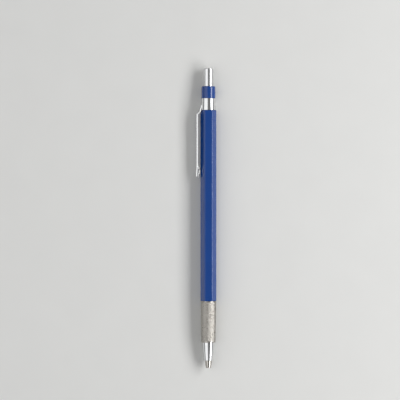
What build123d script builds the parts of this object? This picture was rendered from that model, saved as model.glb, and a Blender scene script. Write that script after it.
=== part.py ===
from build123d import *
from math import cos, radians, sin, sqrt
import os

# A clutch lead holder for 2 mm leads, in millimetres. It lies along Y with the push button towards +Y,
# the pocket clip on the -X side and one flat of the hexagonal barrel facing down. The origin is on the
# axis, in the middle of the stretch where the closed jaws hold the lead. "Front" is the tip's end, at
# low Y, and "rear" is the button's end, at high Y. A turned piece is an outline of (radius, y) points
# revolved about the Y axis.

# Driving dimensions: lengths along the axis
bite_length = 4.0
jaw_show = 3.8
cone_length = 9.3
sleeve_length = 21.1
barrel_length = 97.4
ring_length = 6.0
collar_length = 6.2
button_show = 9.2
lead_length = 130.0

# Driving dimensions: radii and sections
lead_r = 1.0
barrel_across_flats = 7.3
barrel_corner_r = 1.0
sleeve_front_r = 3.62
sleeve_rear_r = 4.0
cone_mouth_r = 2.35
cone_base_r = 3.15
ring_rear_r = 3.6
ring_front_r = 3.9
collar_r = 3.58
button_r = 2.65

# Fits: radial gaps between pieces that move on each other
lead_fit = 0.03
seat_fit = 0.05
slide_fit = 0.07
button_fit = 0.1
touch_gap = 0.05

# Stations along the axis, from the tip to the button
tip_y = -bite_length / 2
mouth_y = tip_y + jaw_show
sleeve_front_y = mouth_y + cone_length
barrel_front_y = sleeve_front_y + sleeve_length
barrel_rear_y = barrel_front_y + barrel_length
ring_rear_y = barrel_rear_y + ring_length
collar_rear_y = ring_rear_y + collar_length
button_rear_y = collar_rear_y + button_show

# Breaks and roundings of edges
fine_break = 0.12
small_break = 0.2
collar_round = 0.7
button_round = 0.5

# Collet: three jaws, parted by slots, on a solid body
jaw_count = 3
first_jaw_angle = 30
jaw_slot = 0.5
jaw_root_y = 10.0
jaw_tip_r = 1.28
jaw_head_r = 1.7
jaw_neck_r = 1.38
jaw_head_rear_y = mouth_y - 0.6
jaw_neck_front_y = mouth_y + 1.6
jaw_belly = 0.09
neck_bore_r = 1.12
neck_lead_in = 0.8
bite_r = lead_r + lead_fit
collet_r = 1.9
collet_flange_y = 12.0
collet_flare = 0.4
collet_rear_y = 16.5

# Lead tube
tube_r = 1.45
tube_bore_r = 1.15
tube_front_y = 12.5

# Nose cone, inside and behind
cone_spigot_r = 2.95
cone_spigot_rear_y = 17.0
cone_bore_r = 2.25
mouth_bore_r = 1.62
mouth_bore_length = 3.0
mouth_flare = 0.5

# Return spring and its two seats
seat_thickness = 0.8
spring_front_y = cone_spigot_rear_y + seat_thickness
spring_length = 20.2
spring_rear_y = spring_front_y + spring_length
spring_wire = 0.4
spring_mean_r = 1.95
spring_turns = 13.5
thrust_collar_r = 2.15
thrust_collar_length = 2.5

# Front ferrule, and the barrel's bore
ferrule_front_y = 21.2
ferrule_thread_r = 3.15
ferrule_shank_r = 2.9
ferrule_shank_length = 10.0
ferrule_bore_r = 2.35
barrel_bore_r = 2.45

# Rear collar's shank and well, and the clip ring around it
collar_shank_r = 3.15
collar_shank_front_y = barrel_rear_y - 9.6
collar_well_y = 130.0
collar_well_r = button_r + button_fit
ring_bore_r = 3.2
ring_waist = 0.04
ring_waist_share = 0.55

# Push button, and the ferrule and split ring that it slips over
button_front_y = collar_rear_y - 3.4
button_wall = 0.45
button_bore_r = button_r - button_wall
button_end_wall = 1.3
tail_front_y = 134.6
tail_rear_y = 143.4
tail_r = button_bore_r - button_fit
groove_r = 1.85
groove_y = 140.4
groove_length = 0.8
ring_split = 0.8

# Lead pointer inside the button
pointer_front_y = tail_rear_y + touch_gap
pointer_rear_y = button_rear_y - button_end_wall
pointer_guide_length = 1.5
pointer_chamber_r = 1.75
blade_count = 4
blade_thickness = 0.3
blade_heel = 0.4

# Clip arm
clip_width = 3.6
clip_end_width = 2.8
clip_stock = 0.6
clip_out_x = -6.0
clip_length = 34.1
clip_contact_y = 98.95
clip_tongue_y = 101.6
clip_slant = 1.9
clip_fold = 0.75
clip_bend_r = 0.32

# Lead, parked behind the jaws
lead_front_y = 7.0
lead_point_length = 3.0
lead_point_r = 0.25


def save(builder, name):
    """Label one finished piece and write it to its own file."""
    builder.part.label = name
    export_step(builder.part, f"parts/{name}.step")


os.makedirs("parts", exist_ok=True)

# Barrel: a hexagonal tube with rounded corners, bored wider at both ends for the pieces it holds
with BuildPart() as barrel:
    with BuildSketch(Plane.XZ.offset(-barrel_rear_y)) as hexagon:
        RegularPolygon(barrel_across_flats / 2, 6, major_radius=False)
        fillet(hexagon.vertices(), barrel_corner_r)
        Circle(barrel_bore_r, mode=Mode.SUBTRACT)
    extrude(amount=barrel_length)
    front_end, rear_end = barrel.faces().filter_by(Axis.Y).sort_by(Axis.Y)
    chamfer([*front_end.outer_wire().edges(), *rear_end.outer_wire().edges()], small_break)
    with BuildSketch(Plane.XZ.offset(-barrel_rear_y)):
        Circle(collar_shank_r)
    extrude(amount=barrel_rear_y - collar_shank_front_y, mode=Mode.SUBTRACT)
    with BuildSketch(Plane.XZ.offset(-barrel_front_y)):
        Circle(ferrule_shank_r)
    extrude(amount=-ferrule_shank_length, mode=Mode.SUBTRACT)
save(barrel, "barrel")

# Front ferrule: a threaded insert pressed into the barrel, which the grip sleeve screws onto
with BuildPart() as front_ferrule:
    with BuildSketch(Plane.XY):
        with BuildLine():
            Polyline(
                (ferrule_bore_r, ferrule_front_y),
                (ferrule_thread_r, ferrule_front_y),
                (ferrule_thread_r, barrel_front_y),
                (ferrule_shank_r, barrel_front_y),
                (ferrule_shank_r, barrel_front_y + ferrule_shank_length),
                (ferrule_bore_r, barrel_front_y + ferrule_shank_length),
                close=True,
            )
        make_face()
    revolve(axis=Axis.Y)
save(front_ferrule, "front_ferrule")

# Grip sleeve: the tapered metal grip, bored for the nose cone in front and the ferrule behind
with BuildPart() as grip_sleeve:
    with BuildSketch(Plane.XY):
        with BuildLine():
            Polyline(
                (cone_spigot_r, sleeve_front_y),
                (sleeve_front_r, sleeve_front_y),
                (sleeve_rear_r, barrel_front_y),
                (ferrule_thread_r, barrel_front_y),
                (ferrule_thread_r, ferrule_front_y),
                (cone_spigot_r, ferrule_front_y),
                close=True,
            )
        make_face()
    revolve(axis=Axis.Y)
    rims = grip_sleeve.edges().filter_by(GeomType.CIRCLE)
    chamfer(rims.filter_by(lambda edge: edge.radius >= sleeve_front_r), fine_break)
save(grip_sleeve, "grip_sleeve")

# Nose cone: its mouth closes the jaws, and its rear spigot screws into the grip sleeve
with BuildPart() as nose_cone:
    with BuildSketch(Plane.XY):
        with BuildLine():
            Polyline(
                (jaw_head_r + seat_fit, mouth_y),
                (cone_mouth_r, mouth_y),
                (cone_base_r, sleeve_front_y),
                (cone_spigot_r, sleeve_front_y),
                (cone_spigot_r, cone_spigot_rear_y),
                (cone_bore_r, cone_spigot_rear_y),
                (cone_bore_r, mouth_y + mouth_bore_length),
                (mouth_bore_r, mouth_y + mouth_bore_length),
                (mouth_bore_r, mouth_y + mouth_flare),
                close=True,
            )
        make_face()
    revolve(axis=Axis.Y)
    mouth_rim = nose_cone.edges().filter_by(GeomType.CIRCLE).group_by(Axis.Y)[0]
    fillet(mouth_rim.sort_by(SortBy.RADIUS)[-1], small_break)
save(nose_cone, "nose_cone")

# Rear collar: a stepped plug whose head clamps the clip ring against the barrel
with BuildPart() as rear_collar:
    with BuildSketch(Plane.XY):
        with BuildLine():
            Polyline(
                (tube_r + slide_fit, collar_shank_front_y),
                (collar_shank_r, collar_shank_front_y),
                (collar_shank_r, ring_rear_y),
                (collar_r, ring_rear_y),
                (collar_r, collar_rear_y),
                (collar_well_r, collar_rear_y),
                (collar_well_r, collar_well_y),
                (tube_r + slide_fit, collar_well_y),
                close=True,
            )
        make_face()
    revolve(axis=Axis.Y)
    head_rims = rear_collar.edges().filter_by(GeomType.CIRCLE).filter_by(
        lambda edge: edge.radius > collar_shank_r
    )
    fillet(head_rims.sort_by(Axis.Y)[-1], collar_round)
    chamfer(head_rims.sort_by(Axis.Y)[0], fine_break)
save(rear_collar, "rear_collar")

# Clip ring: a drawn sleeve that flares towards the barrel
with BuildPart() as clip_ring:
    with BuildSketch(Plane.XY):
        with BuildLine():
            inner = Polyline(
                (ring_front_r, barrel_rear_y),
                (ring_bore_r, barrel_rear_y),
                (ring_bore_r, ring_rear_y),
                (ring_rear_r, ring_rear_y),
            )
            ThreePointArc(
                inner @ 1,
                (ring_rear_r + ring_waist, barrel_rear_y + ring_waist_share * ring_length),
                inner @ 0,
            )
        make_face()
    revolve(axis=Axis.Y)
save(clip_ring, "clip_ring")

# Clip arm: a bent spring strip, from the ring's front rim out and along the barrel, with its end folded
# back into a V whose point rests on the barrel's corner
corner_centre = (barrel_across_flats / 2 - barrel_corner_r) * 2 / sqrt(3)
barrel_corner_x = -(corner_centre + barrel_corner_r)
clip_root_x = barrel_corner_x - clip_stock / 2 - touch_gap
clip_end_y = barrel_rear_y - clip_length + clip_stock / 2
with BuildPart() as clip_arm:
    with BuildSketch(Plane.XY):
        with BuildLine() as clip_route:
            FilletPolyline(
                (clip_root_x, barrel_rear_y + clip_stock),
                (clip_root_x, barrel_rear_y - clip_stock),
                (clip_out_x, barrel_rear_y - clip_stock - clip_slant),
                (clip_out_x, clip_end_y),
                (clip_out_x + clip_fold, clip_end_y),
                (clip_root_x, clip_contact_y),
                (clip_out_x + clip_fold, clip_tongue_y),
                radius=clip_bend_r,
            )
        trace(clip_route.edges(), line_width=clip_stock)
    extrude(amount=clip_width / 2, both=True)
    with BuildSketch(Plane.YZ):
        Polygon(
            (barrel_rear_y + clip_stock, -clip_width / 2),
            (barrel_rear_y + clip_stock, clip_width / 2),
            (clip_end_y - clip_stock, clip_end_width / 2),
            (clip_end_y - clip_stock, -clip_end_width / 2),
            align=None,
        )
    extrude(amount=2 * clip_out_x, mode=Mode.INTERSECT)
save(clip_arm, "clip_arm")

# Spring seat: a washer on the rear end of the nose cone, which the return spring pushes against
with BuildPart() as spring_seat:
    with BuildSketch(Plane.XZ.offset(-spring_front_y)):
        Circle(ferrule_shank_r)
        Circle(tube_r + 2 * slide_fit, mode=Mode.SUBTRACT)
    extrude(amount=seat_thickness)
save(spring_seat, "spring_seat")

# Return spring: a coil of round wire between its seat and the thrust collar
with BuildPart() as return_spring:
    with BuildLine() as coil:
        Helix(
            pitch=(spring_length - 2 * spring_wire) / spring_turns,
            height=spring_length - 2 * spring_wire,
            radius=spring_mean_r,
            center=(0, spring_front_y + spring_wire, 0),
            direction=(0, 1, 0),
        )
    with BuildSketch(Plane(origin=coil.line @ 0, z_dir=coil.line % 0)):
        Circle(spring_wire / 2)
    sweep(path=coil.line, is_frenet=True)
save(return_spring, "return_spring")

# Thrust collar: the ring on the lead tube that the spring pushes rearwards
with BuildPart() as thrust_collar:
    with BuildSketch(Plane.XZ.offset(-spring_rear_y - thrust_collar_length)):
        Circle(thrust_collar_r)
        Circle(tube_r, mode=Mode.SUBTRACT)
    extrude(amount=thrust_collar_length)
    outer_rims = thrust_collar.edges().filter_by(GeomType.CIRCLE)
    chamfer(outer_rims.filter_by(lambda edge: edge.radius > tube_r), small_break)
save(thrust_collar, "thrust_collar")

# Lead tube: the long tube that carries the lead and joins the collet to the button
with BuildPart() as lead_tube:
    with BuildSketch(Plane.XZ.offset(-tail_rear_y)):
        Circle(tube_r)
        Circle(tube_bore_r, mode=Mode.SUBTRACT)
    extrude(amount=tail_rear_y - tube_front_y)
save(lead_tube, "lead_tube")

# Collet body: the solid rear of the collet, screwed onto the front of the lead tube
with BuildPart() as collet_body:
    with BuildSketch(Plane.XY):
        with BuildLine():
            Polyline(
                (neck_bore_r, jaw_root_y),
                (jaw_neck_r, jaw_root_y),
                (jaw_neck_r, collet_flange_y - collet_flare),
                (collet_r, collet_flange_y),
                (collet_r, collet_rear_y),
                (tube_r, collet_rear_y),
                (tube_r, tube_front_y),
                (neck_bore_r, tube_front_y),
                close=True,
            )
        make_face()
    revolve(axis=Axis.Y)
save(collet_body, "collet_body")

# Collet jaws: three spring fingers around the lead, with a slot between each two and one slot facing up
for number in range(jaw_count):
    middle = first_jaw_angle + 360 / jaw_count * number
    half_angle = 180 / jaw_count
    apex = jaw_slot / 2 / sin(radians(half_angle))
    reach = 3 * collet_r
    with BuildPart() as jaw:
        with BuildSketch(Plane.XY):
            with BuildLine():
                edge_line = Polyline(
                    (jaw_head_r, jaw_head_rear_y),
                    (jaw_neck_r, jaw_neck_front_y),
                    (jaw_neck_r, jaw_root_y - touch_gap),
                    (neck_bore_r, jaw_root_y - touch_gap),
                    (neck_bore_r, tip_y + bite_length + neck_lead_in),
                    (bite_r, tip_y + bite_length),
                    (bite_r, tip_y),
                    (jaw_tip_r, tip_y),
                )
                ThreePointArc(
                    edge_line @ 1,
                    ((jaw_tip_r + jaw_head_r) / 2 + jaw_belly, (tip_y + jaw_head_rear_y) / 2),
                    edge_line @ 0,
                )
            make_face()
        revolve(axis=Axis.Y)
        with BuildSketch(Plane.XZ.offset(-jaw_root_y)):
            corners = [
                (
                    apex * cos(radians(middle)) + reach * cos(radians(middle + side * half_angle)),
                    apex * sin(radians(middle)) + reach * sin(radians(middle + side * half_angle)),
                )
                for side in (-1, 1)
            ]
            Polygon((apex * cos(radians(middle)), apex * sin(radians(middle))), *corners, align=None)
        extrude(amount=jaw_root_y - tip_y, mode=Mode.INTERSECT)
    save(jaw, f"collet_jaw_{number + 1}")

# Tail ferrule: the sleeve on the rear of the lead tube that the push button slips over
with BuildPart() as tail_ferrule:
    with BuildSketch(Plane.XY):
        with BuildLine():
            Polyline(
                (tube_r, tail_front_y),
                (tail_r, tail_front_y),
                (tail_r, groove_y),
                (groove_r, groove_y),
                (groove_r, groove_y + groove_length),
                (tail_r, groove_y + groove_length),
                (tail_r, tail_rear_y - small_break),
                (tail_r - small_break, tail_rear_y),
                (tube_r, tail_rear_y),
                close=True,
            )
        make_face()
    revolve(axis=Axis.Y)
save(tail_ferrule, "tail_ferrule")

# Friction ring: a split ring in the ferrule's groove that keeps the button on
with BuildPart() as friction_ring:
    with BuildSketch(Plane.XZ.offset(-groove_y - groove_length)):
        Circle(button_bore_r - lead_fit)
        Circle(groove_r, mode=Mode.SUBTRACT)
        with Locations((0, groove_r)):
            Rectangle(ring_split, groove_r, mode=Mode.SUBTRACT)
    extrude(amount=groove_length)
save(friction_ring, "friction_ring")

# Push button: a closed cap that also houses the lead pointer
with BuildPart() as push_button:
    with BuildSketch(Plane.XY):
        with BuildLine():
            Polyline(
                (0, button_rear_y),
                (button_r, button_rear_y),
                (button_r, button_front_y),
                (button_bore_r, button_front_y),
                (button_bore_r, pointer_rear_y),
                (0, pointer_rear_y),
                close=True,
            )
        make_face()
    revolve(axis=Axis.Y)
    fillet(push_button.edges().filter_by(GeomType.CIRCLE).sort_by(Axis.Y)[-1], button_round)
save(push_button, "push_button")

# Pointer body: a cup inside the button with a guide hole for the lead and a chamber for the dust
with BuildPart() as pointer_body:
    with BuildSketch(Plane.XY):
        with BuildLine():
            Polyline(
                (lead_r + slide_fit, pointer_front_y),
                (button_bore_r, pointer_front_y),
                (button_bore_r, pointer_rear_y),
                (pointer_chamber_r, pointer_rear_y),
                (pointer_chamber_r, pointer_front_y + pointer_guide_length),
                (lead_r + slide_fit, pointer_front_y + pointer_guide_length),
                close=True,
            )
        make_face()
    revolve(axis=Axis.Y)
save(pointer_body, "pointer_body")

# Pointer blades: hardened plates on edge in the chamber, whose inner edges lie on a cone
with BuildPart() as pointer_blades:
    blade_front_y = pointer_front_y + pointer_guide_length
    for turn in range(blade_count):
        with BuildSketch(Plane.XY.rotated((0, 360 / blade_count * turn, 0))):
            Polygon(
                (lead_r + slide_fit, blade_front_y),
                (pointer_chamber_r - touch_gap, blade_front_y),
                (pointer_chamber_r - touch_gap, pointer_rear_y),
                (blade_thickness, pointer_rear_y),
                (blade_thickness, pointer_rear_y - blade_heel),
                align=None,
            )
        extrude(amount=blade_thickness / 2, both=True)
save(pointer_blades, "pointer_blades")

# Lead: a 2 mm lead with a sharpened point, parked in its tube behind the jaws
with BuildPart() as lead:
    with BuildSketch(Plane.XY):
        with BuildLine():
            Polyline(
                (0, lead_front_y),
                (lead_point_r, lead_front_y),
                (lead_r, lead_front_y + lead_point_length),
                (lead_r, lead_front_y + lead_length),
                (0, lead_front_y + lead_length),
                close=True,
            )
        make_face()
    revolve(axis=Axis.Y)
save(lead, "lead")

print(f"length {button_rear_y - tip_y:.1f} mm, barrel corner at x = {barrel_corner_x:.2f} mm")
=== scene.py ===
from math import asin, atan2, ceil, cos, floor, pi, radians, sin, tan

import bmesh
import bpy
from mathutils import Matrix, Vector


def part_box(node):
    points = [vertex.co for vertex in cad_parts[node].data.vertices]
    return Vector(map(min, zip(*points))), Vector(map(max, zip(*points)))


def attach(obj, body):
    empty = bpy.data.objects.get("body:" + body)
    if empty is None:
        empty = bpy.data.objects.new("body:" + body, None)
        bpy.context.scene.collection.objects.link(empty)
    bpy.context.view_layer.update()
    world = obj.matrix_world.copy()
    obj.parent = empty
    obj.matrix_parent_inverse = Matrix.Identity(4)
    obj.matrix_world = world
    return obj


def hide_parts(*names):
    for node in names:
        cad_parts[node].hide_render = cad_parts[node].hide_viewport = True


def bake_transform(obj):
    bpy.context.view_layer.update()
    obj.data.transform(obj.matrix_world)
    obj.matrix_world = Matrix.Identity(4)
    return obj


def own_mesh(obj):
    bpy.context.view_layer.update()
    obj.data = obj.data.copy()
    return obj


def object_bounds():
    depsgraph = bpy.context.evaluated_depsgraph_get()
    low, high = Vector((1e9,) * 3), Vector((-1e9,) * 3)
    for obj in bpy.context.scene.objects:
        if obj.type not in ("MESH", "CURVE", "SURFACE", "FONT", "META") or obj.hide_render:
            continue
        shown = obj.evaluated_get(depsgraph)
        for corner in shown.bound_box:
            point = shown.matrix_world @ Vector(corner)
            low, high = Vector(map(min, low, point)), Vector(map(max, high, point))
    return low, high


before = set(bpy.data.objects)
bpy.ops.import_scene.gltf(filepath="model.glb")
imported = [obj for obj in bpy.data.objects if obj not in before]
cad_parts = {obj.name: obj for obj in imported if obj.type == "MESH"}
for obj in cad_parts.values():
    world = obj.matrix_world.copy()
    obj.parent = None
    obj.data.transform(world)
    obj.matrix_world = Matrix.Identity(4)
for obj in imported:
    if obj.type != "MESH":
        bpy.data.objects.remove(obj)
cad_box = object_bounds()
scene = bpy.context.scene

# Sizes are written in millimetres and turned into metres when a mesh is made. Every piece is laid out along
# Y, with the push button towards +Y, the pocket clip on the -X side and a flat of the barrel facing up.
MM = 0.001


def span(node, axis):
    """Lowest and highest place of a CAD node along one axis, in millimetres."""
    low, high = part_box(node)
    return low["xyz".index(axis)] / MM, high["xyz".index(axis)] / MM


tip_y, _ = span("collet_jaw_1", "y")
mouth_y, spigot_rear_y = span("nose_cone", "y")
sleeve_front_y, sleeve_rear_y = span("grip_sleeve", "y")
barrel_front_y, barrel_rear_y = span("barrel", "y")
_, ring_rear_y = span("clip_ring", "y")
shank_front_y, collar_rear_y = span("rear_collar", "y")
button_front_y, button_rear_y = span("push_button", "y")
spring_front_y, spring_rear_y = span("return_spring", "y")
clip_end_y, _ = span("clip_arm", "y")
clip_out_x, clip_in_x = span("clip_arm", "x")

ferrule_front_y, ferrule_rear_y = span("front_ferrule", "y")

# Radii and other sizes that a box can't give
across_flats = 7.3
corner_r = 1.0
barrel_edge_r = 0.2
barrel_bore_r = 2.45
shank_bore_r = 3.15
ferrule_bore_r = 2.9
sleeve_front_r = 3.62
sleeve_rear_r = 4.0
sleeve_edge_r = 0.12
cone_mouth_r = 2.35
cone_base_r = 3.15
cone_spigot_r = 2.95
cone_bore_r = 2.25
mouth_bore_r = 1.62
mouth_bore_length = 3.0
mouth_flare = 0.5
ring_rear_r = 3.6
ring_front_r = 3.9
ring_bore_r = 3.2
ring_lip_r = 0.1
ring_flare_power = 2.2
collar_r = 3.58
collar_shank_r = 3.14
collar_well_r = 2.75
collar_well_y = 130.0
tube_pass_r = 1.52
button_r = 2.65
button_bore_r = 2.2
button_end_wall = 1.3
jaw_tip_r = 1.28
jaw_head_r = 1.7
jaw_neck_r = 1.38
jaw_slot = 0.5
jaw_columns = 25
first_jaw_deg = 30
bite_length = 4.0
bite_r = 1.03
neck_lead_in = 0.8
neck_bore_r = 1.12
jaw_root_y = 9.95
wire_r = 0.2
spring_mean_r = 1.95
spring_turns = 13.5
closed_turns = 1.0
clip_sheet = 0.5
clip_arch = 0.4
clip_root_width = 3.6
clip_end_width = 2.8

# Knurl of the grip
knurl_starts = 36
knurl_pitch = 0.86
knurl_depth = 0.13
knurl_samples = 8
knurl_rim = 0.55
knurl_front_rim = 0.9
knurl_flat = 0.8

# Points around a turned piece
AROUND = 160


# ---------------------------------------------------------------- mesh helpers


def rounded(corners, steps=6, closed=True):
    """Points along an outline of (u, v, radius) corners, with each corner turned into an arc."""
    points = []
    last = len(corners) - 1
    for index, (u, v, radius) in enumerate(corners):
        here = Vector((u, v))
        if radius == 0 or (not closed and index in (0, last)):
            points.append(here)
            continue
        before = (Vector(corners[index - 1][:2]) - here).normalized()
        after = (Vector(corners[(index + 1) % len(corners)][:2]) - here).normalized()
        half = before.angle(after) / 2
        run = radius / tan(half)
        centre = here + (before + after).normalized() * radius / sin(half)
        start = here + before * run - centre
        end = here + after * run - centre
        sweep = pi - 2 * half
        support = radius * sweep / steps
        points.append(centre + start + before * support)
        for step in range(steps + 1):
            share = step / steps
            arc = start * sin((1 - share) * sweep) + end * sin(share * sweep)
            points.append(centre + arc / sin(sweep))
        points.append(centre + end + after * support)
    return points


def grid(rows, columns, wrap_rows=True, wrap_columns=True):
    """Quads over rows x columns points."""
    faces = []
    for row in range(rows if wrap_rows else rows - 1):
        for column in range(columns if wrap_columns else columns - 1):
            low = row * columns
            high = (row + 1) % rows * columns
            right = (column + 1) % columns
            faces.append((low + column, low + right, high + right, high + column))
    return faces


def add_piece(name, points, faces, sharp_deg=40):
    """A smooth-shaded piece from points in millimetres, with its doubled points merged."""
    mesh = bpy.data.meshes.new(name)
    mesh.from_pydata([[value * MM for value in point] for point in points], [], faces)
    work = bmesh.new()
    work.from_mesh(mesh)
    bmesh.ops.remove_doubles(work, verts=work.verts, dist=1e-7)
    bmesh.ops.recalc_face_normals(work, faces=work.faces)
    work.to_mesh(mesh)
    work.free()
    mesh.shade_smooth()
    mesh.set_sharp_from_angle(angle=radians(sharp_deg))
    piece = bpy.data.objects.new(name, mesh)
    scene.collection.objects.link(piece)
    return piece


def around_axis(radius, y, angle):
    """A point at that radius and angle about the Y axis. The angle runs from +X towards +Z."""
    return radius * cos(angle), y, radius * sin(angle)


def lathe(name, outline, columns=AROUND):
    """An outline of (radius, y) points turned about the Y axis."""
    points = [
        around_axis(radius, y, 2 * pi * column / columns)
        for radius, y in outline
        for column in range(columns)
    ]
    return add_piece(name, points, grid(len(outline), columns))


def finish_piece(piece, material, body, slot, *replaced):
    """Give a piece its material, its body and the CAD nodes that it stands for, which are hidden. The slot
    is not used.
    """
    piece.data.materials.clear()
    piece.data.materials.append(material)
    if body:
        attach(piece, body)
    if replaced:
        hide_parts(*replaced)


# ---------------------------------------------------------------- material helpers


def srgb(red, green, blue):
    """Linear colour of an 8-bit display colour."""
    linear = []
    for value in (red, green, blue):
        share = value / 255
        linear.append(share / 12.92 if share <= 0.04045 else ((share + 0.055) / 1.055) ** 2.4)
    return (*linear, 1)


class Surface:
    """A node material around one Principled shader, with its patterns laid out in object space."""

    def __init__(self, name, metallic, ior=1.5):
        self.material = bpy.data.materials.new(name)
        self.material.use_nodes = True
        self.tree = self.material.node_tree
        self.shader = self.tree.nodes["Principled BSDF"]
        self.shader.inputs["Metallic"].default_value = metallic
        self.shader.inputs["IOR"].default_value = ior
        self.place = self.add("ShaderNodeTexCoord").outputs["Object"]

    def add(self, kind, inputs=None, **settings):
        """A new node with its settings, and its inputs linked or set."""
        node = self.tree.nodes.new(kind)
        for key, value in settings.items():
            setattr(node, key, value)
        for key, value in (inputs or {}).items():
            if isinstance(value, bpy.types.NodeSocket):
                self.tree.links.new(value, node.inputs[key])
            else:
                node.inputs[key].default_value = value
        return node

    def noise(self, scale, detail=3, stretch=(1, 1, 1)):
        """Noise from 0 to 1, with so many features to the metre, closer together along a stretched axis."""
        scaled = self.add("ShaderNodeMapping", {"Vector": self.place, "Scale": stretch})
        vector = scaled.outputs["Vector"]
        return self.add(
            "ShaderNodeTexNoise", {"Vector": vector, "Scale": scale, "Detail": detail}
        ).outputs["Fac"]

    def remap(self, value, low, high, to_low, to_high):
        """A value from low..high brought to to_low..to_high and held there."""
        return self.add(
            "ShaderNodeMapRange",
            {"Value": value, "From Min": low, "From Max": high, "To Min": to_low, "To Max": to_high},
        ).outputs["Result"]

    def combine(self, operation, first, second):
        """Two values joined by a math operation."""
        return self.add("ShaderNodeMath", {0: first, 1: second}, operation=operation).outputs[0]

    def colour(self, fac, dark, light):
        """Base colour between two colours."""
        mix = self.add("ShaderNodeMix", {"Factor": fac}, data_type="RGBA")
        mix.inputs[6].default_value = dark
        mix.inputs[7].default_value = light
        self.tree.links.new(mix.outputs[2], self.shader.inputs["Base Color"])

    def roughness(self, value):
        self.tree.links.new(value, self.shader.inputs["Roughness"])

    def bump(self, height, depth_mm, strength=1.0):
        """Relief of that depth from a height of 0 to 1, added to the relief that is there."""
        inputs = {"Height": height, "Distance": depth_mm * MM, "Strength": strength}
        linked = self.shader.inputs["Normal"].links
        if linked:
            inputs["Normal"] = linked[0].from_socket
        bump = self.add("ShaderNodeBump", inputs)
        self.tree.links.new(bump.outputs["Normal"], self.shader.inputs["Normal"])


def blue_plastic():
    """Polished moulded plastic: even deep blue, a slight orange peel and hairline scratches."""
    surface = Surface("blue_plastic", metallic=0)
    cloud = surface.noise(90, detail=4)
    surface.colour(cloud, srgb(12, 60, 132), srgb(18, 67, 142))
    hairs = surface.noise(40, detail=2, stretch=(60, 1.6, 60))
    marks = surface.remap(hairs, 0.62, 0.72, 0, 1)
    smudge = surface.noise(260, detail=5)
    base = surface.remap(smudge, 0.3, 0.7, 0.13, 0.2)
    surface.roughness(surface.combine("ADD", base, surface.remap(marks, 0, 1, 0, 0.07)))
    surface.bump(surface.noise(900, detail=2), 0.004)
    surface.bump(marks, 0.002)
    surface.shader.inputs["Coat Weight"].default_value = 0.35
    surface.shader.inputs["Coat Roughness"].default_value = 0.06
    return surface.material


def turned_metal(name, dark, light, rough, mark_depth):
    """Metal turned about the Y axis: fine rings of tool marks, cloudy polish and small scratches."""
    surface = Surface(name, metallic=1)
    rings = surface.noise(60, detail=3, stretch=(1, 160, 1))
    cloud = surface.noise(350, detail=4)
    surface.colour(surface.combine("MULTIPLY", rings, cloud), dark, light)
    hairs = surface.remap(surface.noise(500, detail=2, stretch=(9, 1, 9)), 0.64, 0.72, 0, 1)
    base = surface.remap(cloud, 0.3, 0.7, rough * 0.75, rough * 1.3)
    surface.roughness(surface.combine("ADD", base, surface.remap(hairs, 0, 1, 0, 0.08)))
    surface.bump(rings, mark_depth)
    return surface.material


def knurled_metal():
    """Plated metal with a satin blast, cloudy in tone and roughness, with a fine grain in its relief."""
    surface = Surface("knurled_metal", metallic=1)
    cloud = surface.noise(700, detail=5)
    surface.colour(cloud, srgb(158, 154, 148), srgb(192, 188, 182))
    surface.roughness(surface.remap(cloud, 0.3, 0.7, 0.24, 0.36))
    surface.bump(surface.noise(9000, detail=3), 0.006)
    return surface.material


def graphite():
    """Dark lead with a grey metallic sheen and fine grain."""
    surface = Surface("graphite", metallic=0.35)
    grain = surface.noise(5000, detail=6)
    surface.colour(grain, srgb(38, 38, 41), srgb(74, 74, 79))
    surface.roughness(surface.remap(grain, 0.3, 0.7, 0.32, 0.5))
    surface.bump(grain, 0.01)
    return surface.material


plastic = blue_plastic()
chrome = turned_metal("chrome_plate", srgb(222, 223, 224), srgb(240, 241, 242), 0.07, 0.0006)
# The clip is the same chrome plate as the ring. Its lighter base colour is a painted highlight that makes
# it read brighter, and its polish is rougher.
clip_chrome_painted_highlight = turned_metal("clip_chrome_painted_highlight", srgb(232, 233, 234), srgb(246, 247, 248), 0.24, 0.0006)
knurled = knurled_metal()
jaw_metal = turned_metal("jaw_metal", srgb(178, 174, 168), srgb(212, 209, 203), 0.2, 0.003)
brass = turned_metal("turned_brass", srgb(186, 148, 82), srgb(226, 190, 118), 0.22, 0.004)
spring_steel = turned_metal("spring_steel", srgb(150, 150, 148), srgb(188, 188, 186), 0.24, 0.003)
tool_steel = turned_metal("tool_steel", srgb(104, 106, 110), srgb(146, 148, 152), 0.28, 0.004)
lead_material = graphite()


# ---------------------------------------------------------------- barrel


def hexagon_ring(inset, y):
    """One ring of the barrel's rounded hexagon, moved in by inset, as points about the Y axis."""
    half = across_flats / 2 - inset
    outer = half / cos(pi / 6)
    corners = [(outer * cos(pi / 3 * k), outer * sin(pi / 3 * k), corner_r) for k in range(6)]
    return [(u, y, v) for u, v in rounded(corners, steps=10)]


def bore_ring(like, radius, y):
    """A round ring with one point for each point of another ring, at the same angle."""
    return [around_axis(radius, y, atan2(z, x)) for x, _, z in like]


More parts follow.
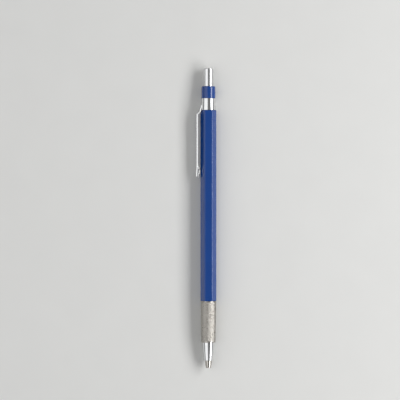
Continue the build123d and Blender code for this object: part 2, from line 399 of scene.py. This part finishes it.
def make_barrel():
    """The barrel: the rounded hexagon with softened ends, bored wider at both ends for what it holds."""
    edge = barrel_edge_r
    steps = 5
    rings = []
    for share in range(steps + 1):
        turn = pi / 2 * share / steps
        rings.append(hexagon_ring(edge * (1 - sin(turn)), barrel_front_y + edge * (1 - cos(turn))))
    rings.append(hexagon_ring(0, barrel_front_y + 2 * edge))
    rings.append(hexagon_ring(0, barrel_rear_y - 2 * edge))
    for share in range(steps + 1):
        turn = pi / 2 * (1 - share / steps)
        rings.append(hexagon_ring(edge * (1 - sin(turn)), barrel_rear_y - edge * (1 - cos(turn))))
    like = rings[0]
    for radius, y in (
        (shank_bore_r, barrel_rear_y),
        (shank_bore_r, shank_front_y),
        (barrel_bore_r, shank_front_y),
        (barrel_bore_r, ferrule_rear_y),
        (ferrule_bore_r, ferrule_rear_y),
        (ferrule_bore_r, barrel_front_y),
    ):
        rings.append(bore_ring(like, radius, y))
    points = [point for ring in rings for point in ring]
    return add_piece("barrel_shell", points, grid(len(rings), len(like)))


finish_piece(make_barrel(), plastic, "holder", "blue_plastic", "barrel")

# ---------------------------------------------------------------- grip sleeve with its diamond knurl


def knurl_height(turn, y):
    """Height of the knurl from 0 in a groove to 1 on a tip, for an angle in turns and a place along Y."""
    heights = []
    for side in (-1, 1):
        phase = knurl_starts * turn + side * y / knurl_pitch
        heights.append(abs(2 * (phase - floor(phase)) - 1))
    return min(*heights, knurl_flat) / knurl_flat


def make_grip():
    """The tapered grip: a plain rim at each end and real diamond cuts between them."""
    columns = knurl_starts * knurl_samples
    step = knurl_pitch / knurl_samples
    first = sleeve_front_y + knurl_front_rim
    rows = int((sleeve_rear_y - knurl_rim - first) / step)

    def radius_at(y):
        share = (y - sleeve_front_y) / (sleeve_rear_y - sleeve_front_y)
        return sleeve_front_r + (sleeve_rear_r - sleeve_front_r) * share

    front_rim = rounded(
        [
            (cone_spigot_r, sleeve_front_y, 0),
            (sleeve_front_r, sleeve_front_y, sleeve_edge_r),
            (radius_at(first - step), first - step, 0),
        ],
        closed=False,
    )
    rear_start = first + rows * step
    rear_rim = rounded(
        [
            (radius_at(rear_start), rear_start, 0),
            (sleeve_rear_r, sleeve_rear_y, sleeve_edge_r),
            (shank_bore_r, sleeve_rear_y, 0),
            (shank_bore_r, ferrule_front_y, 0),
            (cone_spigot_r, ferrule_front_y, 0),
        ],
        closed=False,
    )
    outline = [(*point, 0) for point in front_rim]
    outline += [(radius_at(first + row * step), first + row * step, knurl_depth) for row in range(rows)]
    outline += [(*point, 0) for point in rear_rim]
    points = []
    for radius, y, depth in outline:
        for column in range(columns):
            turn = column / columns
            cut = depth * (1 - knurl_height(turn, y - first)) if depth else 0
            points.append(around_axis(radius - cut, y, 2 * pi * turn))
    return add_piece("grip_knurl", points, grid(len(outline), columns), sharp_deg=75)


finish_piece(make_grip(), knurled, "holder", "knurled_metal", "grip_sleeve")

# ---------------------------------------------------------------- nose cone, ring, collar and button

nose = lathe(
    "nose_shell",
    rounded(
        [
            (jaw_head_r + 0.05, mouth_y, 0.06),
            (cone_mouth_r, mouth_y, 0.22),
            (cone_base_r, sleeve_front_y, 0),
            (cone_spigot_r, sleeve_front_y, 0),
            (cone_spigot_r, spigot_rear_y, 0.15),
            (cone_bore_r, spigot_rear_y, 0),
            (cone_bore_r, mouth_y + mouth_bore_length, 0),
            (mouth_bore_r, mouth_y + mouth_bore_length, 0),
            (mouth_bore_r, mouth_y + mouth_flare, 0),
        ]
    ),
)
finish_piece(nose, chrome, "holder", "chrome_plate", "nose_cone")


def make_ring():
    """The clip ring: a drawn sleeve that flares in a smooth curve towards the barrel."""
    steps = 24
    flare = []
    for step in range(steps + 1):
        share = step / steps
        y = barrel_rear_y + 0.12 + (ring_rear_y - barrel_rear_y - 0.2) * share
        radius = ring_rear_r + (ring_front_r - ring_rear_r) * (1 - share) ** ring_flare_power
        flare.append(Vector((radius, y)))
    front_lip = rounded(
        [(ring_bore_r, barrel_rear_y, 0), (ring_front_r, barrel_rear_y, ring_lip_r), (*flare[1], 0)],
        closed=False,
    )
    rear_lip = rounded(
        [(*flare[-2], 0), (ring_rear_r, ring_rear_y, ring_lip_r), (ring_bore_r, ring_rear_y, 0)],
        closed=False,
    )
    return lathe("clip_ring_shell", front_lip[:-1] + flare[1:-1] + rear_lip[1:])


finish_piece(make_ring(), chrome, "holder", "chrome_plate", "clip_ring")

collar = lathe(
    "collar_shell",
    rounded(
        [
            (tube_pass_r, shank_front_y, 0),
            (collar_shank_r, shank_front_y, 0.2),
            (collar_shank_r, ring_rear_y, 0),
            (collar_r, ring_rear_y, 0.12),
            (collar_r, collar_rear_y, 0.62),
            (collar_well_r, collar_rear_y, 0.08),
            (collar_well_r, collar_well_y, 0),
            (tube_pass_r, collar_well_y, 0),
        ],
        steps=8,
    ),
)
finish_piece(collar, plastic, "holder", "blue_plastic", "rear_collar")

button = lathe(
    "button_shell",
    rounded(
        [
            (0, button_rear_y, 0),
            (button_r, button_rear_y, 0.5),
            (button_r, button_front_y, 0.12),
            (button_bore_r, button_front_y, 0.1),
            (button_bore_r, button_rear_y - button_end_wall, 0),
            (0, button_rear_y - button_end_wall, 0),
        ],
        steps=10,
    ),
)
finish_piece(button, chrome, "button", "chrome_plate", "push_button")

# ---------------------------------------------------------------- clip


def make_clip():
    """The clip: an arched strip of sheet from the ring's rim out along the barrel, folded back into a V."""
    half_sheet = clip_sheet / 2
    out_x = clip_out_x + half_sheet
    root_x = clip_in_x - half_sheet
    end_y = clip_end_y + half_sheet
    corners = [
        (-ring_rear_r - 0.05, barrel_rear_y + 2.6, 0),
        (root_x, barrel_rear_y + 0.15, 0.8),
        (root_x - 0.02, barrel_rear_y - 0.45, 0.5),
        (out_x, barrel_rear_y - 2.2, 1.1),
        (out_x, end_y, 0.42),
        (out_x + 0.85, end_y, 0.42),
        (root_x, clip_end_y + 3.45, 0.34),
        (out_x + 0.75, clip_end_y + 6.0, 0),
    ]
    path = []
    for point in rounded(corners, steps=8, closed=False):
        if path:
            gap = point - path[-1]
            parts = max(1, ceil(gap.length / 1.2))
            path += [path[-1] + gap * part / parts for part in range(1, parts)]
        path.append(point)
    lengths = [0]
    for before, after in zip(path, path[1:]):
        lengths.append(lengths[-1] + (after - before).length)
    total = lengths[-1]

    # Cross-section in shares of half the width and half the sheet, narrower on its outer face
    section = rounded([(0.88, 1, 0.1), (-0.88, 1, 0.1), (-1, -1, 0.1), (1, -1, 0.1)], steps=4)
    fine = []
    for here, ahead in zip(section, section[1:] + section[:1]):
        parts = max(1, ceil(abs(ahead[0] - here[0]) / 0.22))
        fine += [here + (ahead - here) * part / parts for part in range(parts)]

    points = []
    for index, place in enumerate(path):
        before = path[max(index - 1, 0)]
        after = path[min(index + 1, len(path) - 1)]
        along = (after - before).normalized()
        out = Vector((along.y, -along.x))
        share = lengths[index] / total
        width = clip_root_width + (clip_end_width - clip_root_width) * min(1, share / 0.88)
        # The arch flattens before the fold
        arch = clip_arch * min(1, max(0.12, (0.84 - share) / 0.12))
        for u, v in fine:
            rise = v * half_sheet - arch * u * u
            points.append((place.x + out.x * rise, place.y + out.y * rise, u * width / 2))
    columns = len(fine)
    faces = grid(len(path), columns, wrap_rows=False)
    faces.append(tuple(range(columns)))
    faces.append(tuple(range((len(path) - 1) * columns, len(path) * columns)))
    return add_piece("clip_strip", points, faces, sharp_deg=60)


clip = make_clip()
finish_piece(clip, clip_chrome_painted_highlight, None, "chrome_plate", "clip_arm")
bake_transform(clip)

# ---------------------------------------------------------------- collet jaws


def make_jaw(number):
    """One jaw: a third of a turned collet, less half a slot on each side."""
    middle = radians(first_jaw_deg + 120 * (number - 1))
    outline = rounded(
        [
            (bite_r, tip_y, 0.06),
            (jaw_tip_r, tip_y, 0.1),
            (1.58, -0.4, 1.2),
            (jaw_head_r, mouth_y - 0.6, 0.25),
            (jaw_neck_r, mouth_y + 1.6, 0.3),
            (jaw_neck_r, jaw_root_y, 0.05),
            (neck_bore_r, jaw_root_y, 0),
            (neck_bore_r, tip_y + bite_length + neck_lead_in, 0),
            (bite_r, tip_y + bite_length, 0),
        ],
        steps=5,
    )
    columns = jaw_columns
    points = []
    for radius, y in outline:
        half = pi / 3 - asin(jaw_slot / 2 / radius)
        for column in range(columns):
            angle = middle + half * (2 * column / (columns - 1) - 1)
            points.append(around_axis(radius, y, angle))
    faces = grid(len(outline), columns, wrap_columns=False)
    faces.append(tuple(row * columns for row in range(len(outline))))
    faces.append(tuple((row + 1) * columns - 1 for row in range(len(outline))))
    jaw = add_piece(f"jaw_{number}_finger", points, faces)
    soften = jaw.modifiers.new("soften", "BEVEL")
    soften.width = 0.04 * MM
    soften.segments = 2
    soften.limit_method = "ANGLE"
    soften.angle_limit = radians(60)
    depsgraph = bpy.context.evaluated_depsgraph_get()
    softened = bpy.data.meshes.new_from_object(jaw.evaluated_get(depsgraph))
    jaw.modifiers.clear()
    jaw.data = softened
    return jaw


for number in (1, 2, 3):
    finish_piece(make_jaw(number), jaw_metal, f"jaw_{number}", "jaw_metal", f"collet_jaw_{number}")

# ---------------------------------------------------------------- return spring


def make_spring():
    """A compression spring of round wire with its last turn at each end laid close."""
    wire_points = 14
    per_turn = 40
    close_pitch = 2.05 * wire_r
    low = spring_front_y + wire_r
    high = spring_rear_y - wire_r
    open_turns = spring_turns - 2 * closed_turns
    open_pitch = (high - low - 2 * closed_turns * close_pitch) / open_turns
    count = int(spring_turns * per_turn) + 1
    points = []
    for index in range(count):
        turn = index / per_turn
        front = min(turn, closed_turns)
        rear = max(0, turn - spring_turns + closed_turns)
        middle = turn - front - rear
        y = low + (front + rear) * close_pitch + middle * open_pitch
        angle = 2 * pi * turn
        for side in range(wire_points):
            around = 2 * pi * side / wire_points
            points.append(
                around_axis(spring_mean_r + wire_r * cos(around), y + wire_r * sin(around), angle)
            )
    faces = grid(count, wire_points, wrap_rows=False)
    faces.append(tuple(range(wire_points)))
    faces.append(tuple(range((count - 1) * wire_points, count * wire_points)))
    return add_piece("spring_coil", points, faces, sharp_deg=60)


spring = make_spring()
finish_piece(spring, spring_steel, "holder", "spring_steel", "return_spring")
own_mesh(spring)

# ---------------------------------------------------------------- inner CAD nodes that keep their shape

inner = {
    "front_ferrule": brass,
    "thrust_collar": brass,
    "lead_tube": brass,
    "tail_ferrule": brass,
    "pointer_body": brass,
    "collet_body": jaw_metal,
    "spring_seat": spring_steel,
    "friction_ring": spring_steel,
    "pointer_blades": tool_steel,
    "lead": lead_material,
}
for node, material in inner.items():
    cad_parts[node].data.materials.clear()
    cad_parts[node].data.materials.append(material)

# ---------------------------------------------------------------- floor, light and camera

low_corner, high_corner = cad_box
length = high_corner.y - low_corner.y
middle_y = (low_corner.y + high_corner.y) / 2

floor_size = 6.0
floor_mesh = bpy.data.meshes.new("floor")
half = floor_size / 2
floor_mesh.from_pydata(
    [(x, y, low_corner.z) for x, y in ((-half, -half), (half, -half), (half, half), (-half, half))],
    [],
    [(0, 1, 2, 3)],
)
floor_piece = bpy.data.objects.new("floor", floor_mesh)
scene.collection.objects.link(floor_piece)
paper = Surface("floor_paper", metallic=0)
paper.colour(paper.noise(60, detail=3), srgb(222, 222, 220), srgb(226, 226, 224))
paper.shader.inputs["Roughness"].default_value = 0.9
paper.shader.inputs["Specular IOR Level"].default_value = 0.0
floor_mesh.materials.append(paper.material)


def softbox(name, lean_deg, width_deg, radiance, distance=0.8, run=1.1):
    """A long soft light beside the object, leaning from straight above, of an even radiance."""
    light = bpy.data.lights.new(name, "AREA")
    light.shape = "RECTANGLE"
    light.size = 2 * distance * tan(radians(width_deg / 2))
    light.size_y = run
    light.energy = radiance * pi * light.size * light.size_y
    lamp = bpy.data.objects.new(name, light)
    lean = radians(lean_deg)
    lamp.location = (distance * sin(lean), middle_y, distance * cos(lean))
    lamp.rotation_euler = (0, lean, 0)
    lamp.visible_camera = False
    scene.collection.objects.link(lamp)


softbox("left_light", -42, 58, 0.95)
softbox("right_light", 52, 22, 6.2)

world = bpy.data.worlds.new("studio")
scene.world = world
world.use_nodes = True
world_tree = world.node_tree
background = world_tree.nodes["Background"]
direction = world_tree.nodes.new("ShaderNodeTexCoord")
parts = world_tree.nodes.new("ShaderNodeSeparateXYZ")
ramp = world_tree.nodes.new("ShaderNodeValToRGB")
world_tree.links.new(direction.outputs["Generated"], parts.inputs[0])
world_tree.links.new(parts.outputs["Z"], ramp.inputs[0])
world_tree.links.new(ramp.outputs["Color"], background.inputs["Color"])
# A dim even studio, a little lighter overhead than at the horizon
ramp.color_ramp.elements[0].color = (0.16, 0.165, 0.17, 1)
ramp.color_ramp.elements[1].color = (0.22, 0.22, 0.22, 1)

camera_data = bpy.data.cameras.new("camera")
camera = bpy.data.objects.new("camera", camera_data)
camera_distance = 1.0
camera_x = -0.0043
frame_height = 1.335 * length
aim_share = 0.5605
camera_data.sensor_width = 36
camera_data.lens = 36 * camera_distance / frame_height
camera.location = (camera_x, low_corner.y + aim_share * length, camera_distance)
scene.collection.objects.link(camera)
scene.camera = camera
scene.view_settings.view_transform = "Standard"

bpy.context.view_layer.update()
